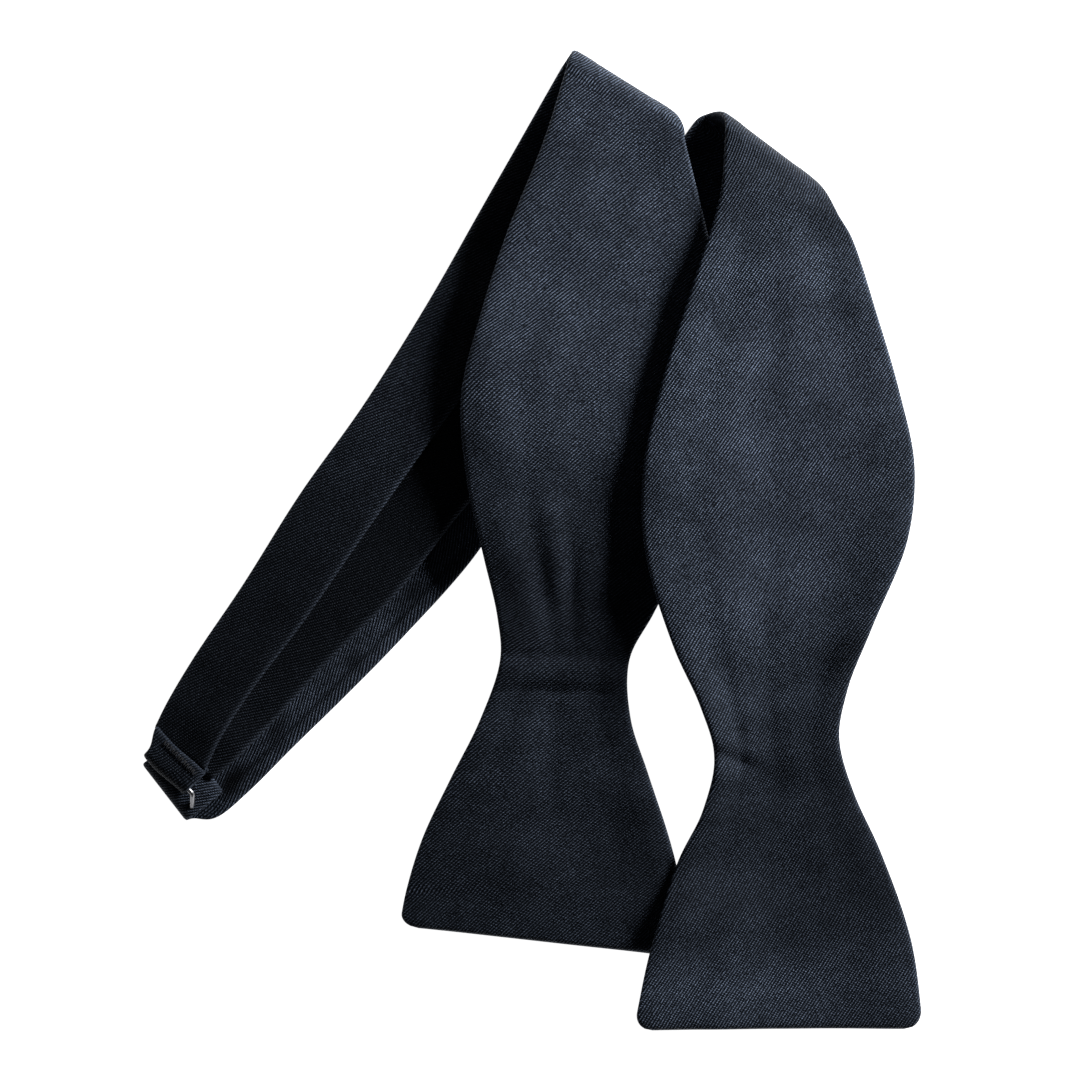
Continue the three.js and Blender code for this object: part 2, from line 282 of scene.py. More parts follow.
def twill(name, colour, highlight):
    """Black twill: raised diagonal ribs of short glossy floats, a little fuzz, and edges painted lighter, as
    rubbed wear and as a painted highlight on the rolled edges.
    """
    mat = Finish(name)
    across, along, _ = mat.parts(mat.weave())
    here = mat.place()
    wander = mat.noise(here, 70, 3) - 0.5
    fine = mat.noise(here, 2100, 2)
    broad = mat.noise(here, 22, 3)
    patch = mat.noise(here, 140, 2)
    rib = ((across + wander * 0.5) * math.pi).sine().size()
    floats = ((along * 1.9 + across * 0.37 + fine * 0.9) * math.pi).sine().size()
    yarn = rib ** 3.2 * (0.3 + floats * 0.7)
    # The first attribute lightens the edges: rubbed wear and a painted highlight on the rolled edges.
    rim = mat.node("ShaderNodeAttribute", {"attribute_name": "rim"}, out=2)
    # The second attribute is painted light and shade: the share of the rib colour kept, lower where the cloth
    # lies in shade.
    nap = mat.node("ShaderNodeAttribute", {"attribute_name": "nap"}, out=2)
    glint = (fine * 2.2 - 0.55).clipped() * yarn
    lustre = 1.0 + (patch - 0.5) * 1.2 + (broad - 0.5) * 0.8
    tint = (glint * lustre * nap + rim * rib * 0.07).clipped()
    mat.shade(
        Base_Color=mat.colour_mix(tint, colour, highlight),
        Roughness=(0.62 - yarn * 0.1 + (broad - 0.5) * 0.1 - glint * 0.1).clipped(),
        Normal=mat.bump(yarn * 0.9 + fine * 0.3, 0.0003, 1.0),
    )
    mat.shade(Specular_IOR_Level=0.09, Sheen_Weight=0.02, Sheen_Roughness=0.4)
    mat.shader.inputs["Specular Tint"].default_value = (0.72, 0.82, 1.0, 1)
    mat.shader.inputs["Sheen Tint"].default_value = (0.7, 0.82, 1.0, 1)
    return mat.material


def canvas_finish():
    """Dark plain-woven interlining."""
    mat = Finish("canvas_cloth")
    across, along, _ = mat.parts(mat.weave())
    warp = (across * 2.2 * math.pi).sine().size()
    weft = (along * 1.8 * math.pi).sine().size()
    cloth = (warp * weft) ** 0.6
    dust = mat.noise(mat.place(), 700, 2)
    mat.shade(
        Base_Color=mat.colour_mix(cloth * (0.7 + dust * 0.5), (0.012, 0.012, 0.013), (0.05, 0.05, 0.052)),
        Roughness=0.8 + dust * 0.15,
        Normal=mat.bump(cloth + dust * 0.3, 0.0002, 0.8),
    )
    mat.shade(Sheen_Weight=0.3)
    return mat.material


def thread_finish():
    """Twisted black sewing thread."""
    mat = Finish("sewing_thread")
    x, y, z = mat.parts(mat.place())
    twist = (((x + y * 0.6 + z) * 9000) * math.pi).sine().size()
    fuzz = mat.noise(mat.place(), 2500, 2)
    mat.shade(
        Base_Color=mat.colour_mix(twist * (0.6 + fuzz * 0.6), (0.002, 0.002, 0.003), (0.012, 0.013, 0.017)),
        Roughness=0.42 + fuzz * 0.2,
        Normal=mat.bump(twist + fuzz * 0.4, 0.00006, 0.7),
    )
    mat.shade(Specular_IOR_Level=0.2)
    return mat.material


def steel_finish():
    """Nickelled steel with fine draw marks and dulled patches."""
    mat = Finish("nickelled_wire")
    here = mat.place()
    marks = mat.noise(here, 3200, 3, 0.7)
    patches = mat.noise(here, 260, 2)
    mat.shade(
        Base_Color=mat.colour_mix(patches, (0.2, 0.2, 0.21), (0.38, 0.39, 0.41)),
        Roughness=(0.26 + patches * 0.18 + (marks - 0.5) * 0.12).clipped(),
        Normal=mat.bump(marks, 0.00003, 0.6),
    )
    mat.shade(Metallic=1.0)
    return mat.material


# ---------------------------------------------------------------- strip surfaces


def edge_curve(stations, side, us):
    """Points of a strip's edge at the shares us of its stations: smooth in plan, with heights that ease."""
    p = np.array([s[side][:2] for s in stations], float)
    z = np.array([s[side][2] for s in stations], float)
    p = np.vstack([2 * p[0] - p[1], p, 2 * p[-1] - p[-2]])
    last = len(z) - 1
    at = np.clip(us, 0, 1) * last
    i = np.minimum(at.astype(int), last - 1)
    f = (at - i)[:, None]
    gap = np.sqrt(np.linalg.norm(np.diff(p, axis=0), axis=1))
    a, b, c, d = p[i], p[i + 1], p[i + 2], p[i + 3]
    g0, g1, g2 = (gap[i + k][:, None] for k in range(3))
    m1 = ((b - a) / g0 - (c - a) / (g0 + g1) + (c - b) / g1) * g1
    m2 = ((c - b) / g1 - (d - b) / (g1 + g2) + (d - c) / g2) * g1
    plan = b + m1 * f + (-3 * b + 3 * c - 2 * m1 - m2) * f**2 + (2 * b - 2 * c + m1 + m2) * f**3
    ease = f[:, 0] ** 2 * (3 - 2 * f[:, 0])
    return np.column_stack([plan, z[i] + (z[i + 1] - z[i]) * ease])


def smooth(t):
    t = np.clip(t, 0, 1)
    return t * t * (3 - 2 * t)


def along_axis(angle):
    a = math.radians(angle)
    return np.array([math.cos(a), math.sin(a), 0]), np.array([-math.sin(a), math.cos(a), 0])


def roll_edges(fold, radius, count):
    """Left and right edge of the half turn round a fold, from under it to over it."""
    along, out = along_axis(fold["angle"])
    s = np.linspace(-1, 1, count)
    turn = s * math.pi / 2
    height = fold["rise"] * (1 + np.sin(turn)) + HALF_STRIP - fold["at"][2]
    arc = radius * np.cos(turn)[:, None] * out + height[:, None] * np.array([0, 0, 1])
    made = []
    for bottom, middle, top in fold["edges"]:
        at = middle + (top - bottom) / 2 * s + ((top + bottom) / 2 - middle) * s**2
        made.append(np.array(fold["at"]) + at[:, None] * along + arc)
    return made


def spaced(left, right, step, fine, near):
    """The rows at even steps along the middle, closer together where near says 1."""
    middle = (left + right) / 2
    run = np.concatenate([[0], np.cumsum(np.linalg.norm(np.diff(middle, axis=0), axis=1))])
    local = step + (fine - step) * near(run)
    count = np.concatenate([[0], np.cumsum(np.diff(run) / ((local[1:] + local[:-1]) / 2))])
    rows = int(round(count[-1])) + 1
    at = np.interp(np.linspace(0, count[-1], rows), count, run)
    pick = [np.column_stack([np.interp(at, run, e[:, k]) for k in range(3)]) for e in (left, right)]
    return pick[0], pick[1], at


def relaxed(points, share, rounds):
    """points smoothed along the rows, as much as share says for each row."""
    p = points.copy()
    for _ in range(rounds):
        p[1:-1] += share[1:-1, None] * 0.5 * ((p[:-2] + p[2:]) / 2 - p[1:-1])
    return p


class Strip:
    """The middle surface of a long strip as a grid of rows along it and columns across it, in millimetres."""

    def __init__(self, left, right, run, columns, corners=(0, 0), rim=2.4):
        self.run = run
        width = np.linalg.norm(right - left, axis=1)
        length = run[-1]
        margin = np.zeros(len(run))
        for corner, distance in ((corners[0], run), (corners[1], length - run)):
            past = np.clip(corner - distance, 0, corner)
            margin += corner - np.sqrt(np.maximum(corner**2 - past**2, 0))
        edge = np.array([0, 0.1, 0.3, 0.6, 1.0, 1.5, rim])
        inner = np.linspace(0, 1, columns)
        usable = width - 2 * margin
        rims = np.minimum(1, usable / (2.6 * rim))[:, None] * edge
        middle = rims[:, -1:] + inner[1:-1] * (usable[:, None] - 2 * rims[:, -1:])
        self.side = np.hstack([rims, middle, (usable[:, None] - rims)[:, ::-1]])
        self.share = (self.side + margin[:, None]) / width[:, None]
        self.grid = left[:, None] + self.share[..., None] * (right - left)[:, None]
        self.side = np.minimum(self.side, usable[:, None] - self.side)
        self.end = np.minimum(run, length - run)
        self.width = width
        self.set_weave_frame(left, right)

    def set_weave_frame(self, left, right):
        """Where each point lies on the strip laid flat: across its middle line, and along it."""
        middle = (left + right) / 2
        go = np.gradient(middle, self.run, axis=0)
        go /= np.linalg.norm(go, axis=1)[:, None]
        row = right - left
        skew = (row * go).sum(1)
        square = np.sqrt(np.maximum((row**2).sum(1) - skew**2, 1))
        self.flat_x = (self.share - 0.5) * square[:, None]
        self.flat_y = self.run[:, None] + (self.share - 0.5) * skew[:, None]

    def normals(self):
        down = np.gradient(self.grid, axis=0)
        over = np.gradient(self.grid, axis=1)
        n = np.cross(down, over)
        return n / np.maximum(np.linalg.norm(n, axis=2), 1e-9)[..., None]


def closing(distance, radius):
    """0 at an edge and 1 from radius inwards, on a quarter of a circle."""
    t = np.clip(distance / radius, 0, 1)
    return np.sqrt(1 - (1 - t) ** 2)


def mesh_between(name, low, high, material, weave, rim, nap, laid=None):
    """A closed mesh between two grids of points in millimetres. high is where rows x columns points."""
    n, m = low.shape[:2]
    ids = np.arange(n * m).reshape(n, m)
    up, dn = ids + n * m, ids
    a, b, c, d = ids[:-1, :-1], ids[1:, :-1], ids[1:, 1:], ids[:-1, 1:]
    quads = [np.stack([q + n * m for q in (a, b, c, d)], -1).reshape(-1, 4)]
    quads.append(np.stack([a, d, c, b], -1).reshape(-1, 4))
    quads.append(np.stack([up[:-1, 0], dn[:-1, 0], dn[1:, 0], up[1:, 0]], -1))
    quads.append(np.stack([up[:-1, -1], up[1:, -1], dn[1:, -1], dn[:-1, -1]], -1))
    quads.append(np.stack([up[0, :-1], up[0, 1:], dn[0, 1:], dn[0, :-1]], -1))
    quads.append(np.stack([up[-1, :-1], dn[-1, :-1], dn[-1, 1:], up[-1, 1:]], -1))
    faces = np.vstack(quads)
    points = np.vstack([low.reshape(-1, 3), high.reshape(-1, 3)])
    if laid is not None:
        points = np.vstack([laid.reshape(-1, 3)] * 2)
    mesh = bpy.data.meshes.new(name)
    mesh.vertices.add(len(points))
    mesh.vertices.foreach_set("co", (points * MM).ravel())
    mesh.loops.add(faces.size)
    mesh.loops.foreach_set("vertex_index", faces.ravel())
    mesh.polygons.add(len(faces))
    mesh.polygons.foreach_set("loop_start", np.arange(0, faces.size, 4))
    mesh.update(calc_edges=True)
    mesh.validate()
    mesh.shade_smooth()
    layer = mesh.uv_layers.new(name="weave")
    uv = np.stack([np.vstack([weave[0].reshape(-1, 1)] * 2), np.vstack([weave[1].reshape(-1, 1)] * 2)], -1)
    layer.data.foreach_set("uv", uv.reshape(-1, 2)[faces.ravel()].ravel())
    attribute = mesh.attributes.new("rim", "FLOAT", "POINT")
    attribute.data.foreach_set("value", np.tile(rim.ravel(), 2))
    # Painted light and shade: the share of the rib colour kept at each point.
    attribute = mesh.attributes.new("nap", "FLOAT", "POINT")
    attribute.data.foreach_set("value", np.tile(nap.ravel(), 2))
    mesh.materials.append(material)
    piece = bpy.data.objects.new(name, mesh)
    bpy.context.scene.collection.objects.link(piece)
    return piece


def fold_up(piece, low, high):
    """Carries a piece's vertices from the flat lay to their place."""
    points = np.vstack([low.reshape(-1, 3), high.reshape(-1, 3)])
    piece.data.vertices.foreach_set("co", (points * MM).ravel())
    piece.data.update()


def outline_area(strip):
    """Flat area of a strip in square metres."""
    span = strip.share[:, -1] - strip.share[:, 0]
    w = strip.width * span
    return float(((w[1:] + w[:-1]) / 2 * np.diff(strip.run)).sum()) * MM * MM


class Half:
    """One half of the bow tie: a strip that runs from its band's end, round the fold, to its blade's end."""

    def __init__(self, side):
        if side == "right":
            band, blade, fold = RIGHT_BAND, RIGHT_BLADE, RIGHT_FOLD
        else:
            band, blade, fold = LEFT_BAND, LEFT_BLADE, LEFT_FOLD
        self.side = side
        shares = np.linspace(0, 1, EDGE_POINTS)
        up = np.array([0, 0, HALF_STRIP])
        roll = roll_edges(fold, fold["inner"] + HALF_STRIP, ROLL_POINTS)
        edges = []
        for k in (0, 1):
            under = edge_curve(band, k, shares)[::-1] + up
            over = edge_curve(blade, k, shares) + up
            over[:, 2] += roll[k][-1, 2] - over[0, 2]
            edges.append(np.vstack([under[:-1], roll[k], over[1:]]) + CENTRE)
        middle = (edges[0] + edges[1]) / 2
        run = np.concatenate([[0], np.cumsum(np.linalg.norm(np.diff(middle, axis=0), axis=1))])
        self.roll = (run[EDGE_POINTS - 1], run[EDGE_POINTS + ROLL_POINTS - 2])
        length = run[-1]

        def near(at):
            fold_zone = smooth((at - self.roll[0] + 6) / 4) * smooth((self.roll[1] + 6 - at) / 4)
            ends = smooth((at - length + 7) / 2) + smooth((7 - at) / 2)
            return np.clip(fold_zone + ends, 0, 1)

        left, right_edge, at = spaced(edges[0], edges[1], ROW_STEP, FOLD_STEP, near)
        share = sum(np.exp(-(((at - r) / 6.0) ** 2)) for r in self.roll)
        left, right_edge = relaxed(left, share, 14), relaxed(right_edge, share, 14)
        self.strip = Strip(left, right_edge, at, 58, corners=(1.5, BLADE_CORNER))
        self.down = np.clip((at - self.roll[1]) / (length - self.roll[1]), 0, 1)
        self.on_blade = smooth((at - self.roll[1] + 2) / 8)[:, None]

    def nap(self):
        """The share of painted light at each point: the rib colour is darkened along the strip, and towards
        the blade's right side, to paint shade.
        """
        if self.side == "right":
            band, blade = RIGHT_BAND_PAINTED_LIGHT, RIGHT_BLADE_PAINTED_LIGHT
        else:
            band, blade = LEFT_BAND_PAINTED_LIGHT, LEFT_BLADE_PAINTED_LIGHT
        s = self.strip
        on_band = np.interp(s.run / self.roll[0], *np.array(band).T)
        on_blade = np.interp(self.down, *np.array(blade).T)
        along = np.where(s.run < self.roll[1], on_band, on_blade)
        share = np.clip(s.share, 0, 1)
        # Painted shade: the blade darker towards its right side.
        return along[:, None] * (1 - 0.28 * smooth((share - 0.55) / 0.45) * self.on_blade)

    def lifts(self, rows):
        """Heights from rows of a share down the blade and five heights across it, eased both ways."""
        knots = np.array([row[0] for row in rows])
        heights = np.array([row[1:] for row in rows], float)
        i = np.clip(np.searchsorted(knots, self.down, "right") - 1, 0, len(knots) - 2)
        f = smooth((self.down - knots[i]) / (knots[i + 1] - knots[i]))[:, None]
        across = heights[i] + (heights[i + 1] - heights[i]) * f
        at = np.clip(self.strip.share, 0, 1) * (across.shape[1] - 1)
        j = np.minimum(at.astype(int), across.shape[1] - 2)
        first = np.take_along_axis(across, j, axis=1)
        second = np.take_along_axis(across, j + 1, axis=1)
        return first + (second - first) * smooth(at - j)

    def drape(self, rows, wrinkles, waves, tilt):
        """Shapes the blade by its heights, wrinkles and waves, and lifts the band's right edge by tilt."""
        s = self.strip
        x, y = s.grid[..., 0], s.grid[..., 1]
        shape = self.lifts(rows)
        for line in wrinkles:
            shape = shape + ridge(x, y, *line)
        for length, angle, phase, height in waves:
            a = math.radians(angle)
            way = x * math.cos(a) + y * math.sin(a)
            shape = shape + height * np.sin(way * 2 * math.pi / length + phase)
        away = smooth((self.roll[0] - s.run - 10) / 60)[:, None] * smooth(s.run / 12)[:, None]
        s.grid[..., 2] += shape * self.on_blade + tilt * away * smooth(s.share)


def ridge(x, y, x0, y0, x1, y1, width, height):
    """A soft ridge, or a groove if its height is negative, along a line on the table's plane."""
    dx, dy = x1 - x0, y1 - y0
    length = math.hypot(dx, dy)
    t = np.clip(((x - x0) * dx + (y - y0) * dy) / length**2, 0, 1)
    gap = np.hypot(x - x0 - t * dx, y - y0 - t * dy)
    taper = 0.35 + 0.65 * np.sin(np.pi * t)
    return height * taper * np.exp(-((gap / width) ** 2))


def settle(over, rows, under, gap):
    """Lifts the chosen rows of one half until they clear the top of another half's blade."""
    cell = 1.5
    low = np.array([-130.0, -160.0])
    shape = (180, 220)
    top = np.full(shape, -1.0)
    s = under.strip
    chosen = s.run > under.roll[1]
    points = s.grid[chosen].reshape(-1, 3)
    at = ((points[:, :2] - low) / cell).astype(int)
    np.maximum.at(top, (at[:, 0], at[:, 1]), points[:, 2] + HALF_STRIP)
    for axis in (0, 1):
        top = np.maximum(top, np.maximum(np.roll(top, 1, axis), np.roll(top, -1, axis)))
    grid = over.strip.grid[rows]
    at = ((grid[..., :2] - low) / cell).astype(int)
    need = np.maximum(0, top[at[..., 0], at[..., 1]] + gap + HALF_STRIP - grid[..., 2])
    lift = need.copy()
    for _ in range(160):
        padded = np.pad(lift, 1, mode="edge")
        mean = (padded[:-2, 1:-1] + padded[2:, 1:-1] + padded[1:-1, :-2] + padded[1:-1, 2:]) / 4
        lift = np.maximum(need, mean)
    grid[..., 2] += lift
    over.strip.grid[rows] = grid


def weave_of(strip, slopes, pitch):
    """Ribs counted across, and millimetres along. slopes is how far the ribs run across per step along."""
    knots = np.array(slopes, float)
    at = np.linspace(strip.flat_y.min(), strip.flat_y.max(), 800)
    slope = np.interp(at, knots[:, 0], knots[:, 1])
    across = np.concatenate([[0], np.cumsum((slope[1:] + slope[:-1]) / 2 * np.diff(at))])
    wide = pitch * math.sqrt(1 + float(np.mean(knots[:, 1] ** 2)))
    return (strip.flat_x - np.interp(strip.flat_y, at, across)) / wide, strip.flat_y


def doubled(half, cloth, puff, front_slopes, back_slopes, pitch, materials):
    """Makes one half's two cloths and interlining, each one piece from the band's end to the blade's."""
    s, side = half.strip, half.side
    n = s.normals()
    shut = closing(s.side, 1.5) * closing(s.end, 1.5)[:, None]
    soft = puff * smooth(s.side / 9) * half.on_blade
    allowance = 0.1 * smooth((7.5 - s.side) / 2.0) * smooth((s.side - 1.5) / 2.0)
    out = (0.05 + (HALF_STRIP + soft + allowance - 0.05) * shut)[..., None]
    inner = np.maximum(out - cloth, 0.025)
    # Edges painted lighter: rubbed wear and a painted highlight on the rolled edges.
    rim = np.exp(-((s.side / 0.9) ** 2)) + np.exp(-((s.end[:, None] / 0.9) ** 2))
    rim = np.clip(rim, 0, 1)
    flat = np.stack([s.flat_x, s.flat_y, np.zeros_like(s.flat_x)], -1)
    area, width = outline_area(s), float(s.width.max() * MM)
    core = n * HALF_CANVAS
    straight = [(0, 0.0), (1, 0.0)]
    layers = [
        ("face_cloth", "front", s.grid + n * inner, s.grid + n * out, front_slopes, "black_twill"),
        ("under_cloth", "back", s.grid - n * out, s.grid - n * inner, back_slopes, "black_twill"),
        ("canvas", "interlining", s.grid - core, s.grid + core, straight, "interlining_canvas"),
    ]
    for label, ply, low, high, slopes, slot in layers:
        weave = weave_of(s, slopes, pitch if slot == "black_twill" else 1.0)
        fields = [low, high, *weave, rim, half.nap(), flat]
        lined = slot == "interlining_canvas"
        if lined:
            fields = [f[4:-5, 7:-7] for f in fields]
        low, high, across, along, edge, nap, laid = fields
        piece = mesh_between(f"{side}_{label}", low, high, materials[slot], (across, along), edge, nap, laid)
        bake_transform(piece)
        fold_up(piece, low, high)
        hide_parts(*(f"{side}_{part}_{ply}" for part in ("band", "fold", "blade")))
        trim = 0.86 if lined else 1.0
        rests = ["floor"] if side == "right" else ["right_under_cloth", "floor"]
        size = (width * (0.94 if lined else 1.0), float(s.run[-1]) * MM)
        area * trim


def turn_rows(end, radius, start, stop, count=26):
    """Edges of a turn round a band end's axis. Its angles are degrees from straight up, towards the end."""
    along, inward = along_axis(end["angle"])
    turn = np.radians(np.linspace(start, stop, count))[:, None]
    centre = np.array(end["at"])
    arc = radius * (np.cos(turn) * np.array([0, 0, 1]) - np.sin(turn) * inward)
    return centre + arc, centre + arc + end["width"] * along


def strip_through(edges, step, columns, rim, relax=10):
    """A strip with rows at even steps through lists of its two edges' points, smoothed along its length."""
    left, right = (np.vstack(e) + CENTRE for e in edges)
    keep = np.concatenate([[True], np.linalg.norm(np.diff((left + right) / 2, axis=0), axis=1) > 0.02])
    left, right, at = spaced(left[keep], right[keep], step, step, lambda run: np.zeros_like(run))
    share = np.ones(len(at))
    return Strip(relaxed(left, share, relax), relaxed(right, share, relax), at, columns, (0.6, 0.6), rim)


def single_cloth(name, strip, half_thick, slopes, pitch, nap, material):
    """A closed piece of doubled cloth with rounded edges along a strip."""
    n = strip.normals()
    shut = closing(strip.side, 1.1) * closing(strip.end, 0.9)[:, None]
    out = (0.04 + (half_thick[:, None] - 0.04) * shut)[..., None]
    # Edges painted lighter: rubbed wear and a painted highlight on the rolled edges.
    rim = np.clip(np.exp(-((strip.side / 0.8) ** 2)) + np.exp(-((strip.end[:, None] / 0.8) ** 2)), 0, 1)
    low, high = strip.grid - n * out, strip.grid + n * out
    weave = weave_of(strip, slopes, pitch)
    laid = np.stack([strip.flat_x, strip.flat_y, np.zeros_like(strip.flat_x)], -1)
    piece = mesh_between(name, low, high, material, weave, rim, nap * np.ones_like(rim), laid)
    return piece, low, high


def thread_piece(name, lines, radius, material):
    """Threads along the given lines of points in metres, as one mesh."""
    bpy.ops.object.select_all(action="DESELECT")
    curve = bpy.data.curves.new(name, "CURVE")
    curve.dimensions = "3D"
    curve.bevel_depth = radius
    curve.bevel_resolution = 2
    curve.use_fill_caps = True
    for line in lines:
        spline = curve.splines.new("NURBS")
        spline.points.add(len(line) - 1)
        for point, co in zip(spline.points, line):
            point.co = (*co, 1)
        spline.use_endpoint_u = True
        spline.order_u = 3
        spline.resolution_u = 4
    piece = bpy.data.objects.new(name, curve)
    bpy.context.scene.collection.objects.link(piece)
    piece.select_set(True)
    bpy.context.view_layer.objects.active = piece
    bpy.ops.object.convert(target="MESH")
    piece = bpy.context.view_layer.objects.active
    piece.data.materials.clear()
    piece.data.materials.append(material)
    piece.data.shade_smooth()
    return piece


# ---------------------------------------------------------------- settings


class BowTieCloth(bpy.types.PropertyGroup):
    """Sizes and colours of the cloth."""

    thickness: FloatProperty(
        name="Cloth", description="Thickness of one ply of twill", default=0.0004, unit="LENGTH"
    )
    puff: FloatProperty(
        name="Puff", description="How far each blade swells at its middle", default=0.0003, unit="LENGTH"
    )
    pitch: FloatProperty(
        name="Rib Pitch", description="Distance between two twill ribs", default=0.00071, unit="LENGTH"
    )
    colour: FloatVectorProperty(
        name="Black",
        description="Colour between the ribs",
        default=(0.0012, 0.0014, 0.002),
        size=3,
        subtype="COLOR",
    )
    highlight: FloatVectorProperty(
        name="Rib",
        description="Colour on the ribs",
        default=(0.25, 0.315, 0.445),
        size=3,
        subtype="COLOR",
    )


class BowTieTrim(bpy.types.PropertyGroup):
    """Sizes of the thread and the wire."""

    thread: FloatProperty(
        name="Thread", description="Radius of the sewing thread", default=0.00013, unit="LENGTH"
    )
    wire: FloatProperty(
        name="Hook Wire", description="Radius of the hook's wire", default=0.00065, unit="LENGTH"
    )
    bevel: FloatProperty(
        name="Slide Edge", description="Rounding of the slide's edges", default=0.00022, unit="LENGTH"
    )


class BowTieStage(bpy.types.PropertyGroup):
    """The table, the lights and the camera."""

    floor: FloatProperty(name="Table", description="Side of the pale table", default=14.0, unit="LENGTH")
    key: FloatProperty(
        name="Key Light", description="Power of the main light", default=8.0, unit="POWER"
    )
    fill: FloatProperty(
        name="Fill Light", description="Power of the soft light", default=0.2, unit="POWER"
    )
    frame_side: FloatProperty(
        name="Frame", description="Side of the square that the camera sees", default=0.2786, unit="LENGTH"
    )
    height: FloatProperty(
        name="Camera Height", description="Height of the camera", default=0.75, unit="LENGTH"
    )


def settings():
    return bpy.context.scene.bow_tie_cloth, bpy.context.scene.bow_tie_trim, bpy.context.scene.bow_tie_stage


FINISHES = {}


def finishes():
    """The four finishes, made on first use."""
    cloth = settings()[0]
    makers = {
        "black_twill": lambda: twill("twill_cloth", tuple(cloth.colour), tuple(cloth.highlight)),
        "interlining_canvas": canvas_finish,
        "black_thread": thread_finish,
        "nickelled_steel": steel_finish,
    }
    if not FINISHES:
        FINISHES.update({name: make() for name, make in makers.items()})
    return FINISHES


# Painted light and shade along each strip: shares of the rib colour kept, lower where the cloth lies in
# shade. Each row: the share along the band or down the blade, then the share of rib colour kept.
RIGHT_BAND_PAINTED_LIGHT = [(0, 0.14), (0.25, 0.07), (0.6, 0.09), (1, 0.38)]
RIGHT_BLADE_PAINTED_LIGHT = [
    (0, 0.38), (0.05, 0.6), (0.12, 1), (0.3, 1), (0.4, 0.78), (0.5, 0.92), (0.6, 0.62),
    (0.68, 0.5), (0.74, 0.42), (0.78, 0.5), (0.84, 0.42), (0.9, 0.65), (0.95, 0.95), (1, 0.65),
]
LEFT_BAND_PAINTED_LIGHT = [(0, 0.08), (0.3, 0.15), (0.55, 0.3), (0.8, 0.22), (1, 0.75)]
LEFT_BLADE_PAINTED_LIGHT = [
    (0, 0.75), (0.06, 0.9), (0.2, 0.95), (0.3, 0.88), (0.42, 0.7), (0.52, 0.5),
    (0.6, 0.3), (0.68, 0.38), (0.78, 0.6), (0.9, 0.5), (1, 0.45),
]
# Painted shade on the return strip and on the turned end: the share of the rib colour kept.
RETURN_PAINTED_LIGHT = 0.6
TURNED_END_PAINTED_LIGHT = 0.22

# Painted shadows on the return strip: x, y, half length and half width in millimetres, and the share of the
# rib colour they take away.
RETURN_PAINTED_SHADOWS = [
    (-77.4, -62.8, 5.2, 2.6, 1.0),
    (-30.3, -13.4, 3, 2, 0.6),
    (-46, -31.5, 3.4, 2, 0.6),
    (-65.9, -49.8, 3.6, 2, 0.6),
]

# How far each blade lies above its stations, in millimetres. Each row: the share of the blade's length, then
# five heights across it.
RIGHT_LIFTS = [
    (0, 0, 0, 0, 0, 0),
    (0.08, 0.9, 0.4, 0, -0.4, -0.8),
    (0.2, 1.4, 0, -1.4, -2.0, -1.6),
    (0.35, 1.4, -0.2, -1.8, -2.0, -1.2),
    (0.48, 1.4, -0.4, -2.2, -2.8, -1.4),
    (0.62, 0.2, -3.0, -4.8, -4.9, -3.9),
    (0.72, -1.8, -4.2, -5.0, -4.6, -3.9),
    (0.8, -2.2, -3.8, -4.2, -3.6, -2.6),
    (0.88, 0.2, -1.4, -2.4, -2.4, -1.6),
    (1, 1.4, -0.6, -2.2, -2.8, -2.2),
]
LEFT_LIFTS = [
    (0, 0, 0, 0, 0, 0),
    (0.1, 0.6, 0.2, -0.4, -0.8, -1.2),
    (0.25, 0.8, -0.6, -1.8, -2.6, -3.0),
    (0.4, 0.3, -0.4, -1.2, -2.0, -2.4),
    (0.48, -1.2, -1.6, -2.4, -3.0, -2.2),
    (0.6, -3.2, -3.4, -3.9, -3.6, -1.9),
    (0.72, -3.2, -3.6, -3.7, -3.7, -2.9),
    (0.85, -2.6, -2.7, -2.7, -2.4, -1.6),
    (1, -3.4, -3.6, -3.4, -2.9, -2.2),
]
# Ridges, or grooves where the height is negative: x and y of both ends, then the width and height, in
# millimetres.
RIGHT_WRINKLES = [
    (47.0, -54.5, 58, -58.5, 1.7, -0.9),
    (46, -51, 58, -54.5, 2.2, 0.5),
    (46, -60, 56, -63, 2.4, 0.4),
    (58, -40, 60, -75, 5.0, -0.4),
    (56, 86, 50, 58, 6.0, -0.5),
    (66, 82, 66, 50, 7.0, 0.5),
    (76, 76, 80, 44, 5.0, -0.4),
]
LEFT_WRINKLES = [
    (-9, -29.5, 24, -30.5, 1.5, -0.5),
    (-9, -38.5, 24, -39.5, 1.5, -0.5),
    (-9, -34, 24, -35, 3.0, 0.5),
    (-8, 8, 2, -25, 3.4, 0.5),
    (-1, 14, 6, -27, 3.0, -0.55),
    (5, 10, 9, -26, 2.8, 0.55),
    (10, 2, 11, -27, 2.4, -0.5),
    (16, 4, 14, -26, 3.0, 0.45),
    (-12, 52, -6, 20, 5.0, 0.45),
    (-2, 40, 2, 14, 4.5, -0.4),
    (1, -41, -5, -68, 3.4, 0.3),
    (6, -41, 5, -72, 2.8, -0.32),
    (12, -42, 17, -64, 3.4, 0.28),
]
# Long waves in the cloth: length in millimetres, direction in degrees, phase and height in millimetres.
WAVES = [(38, 20, 0.4, 0.16), (27, 75, 2.1, 0.12), (19, -35, 4.0, 0.07), (52, 110, 1.0, 0.2)]
# How far each band's right edge is lifted, in millimetres.
BAND_TILT = 1.2
HALVES = {}


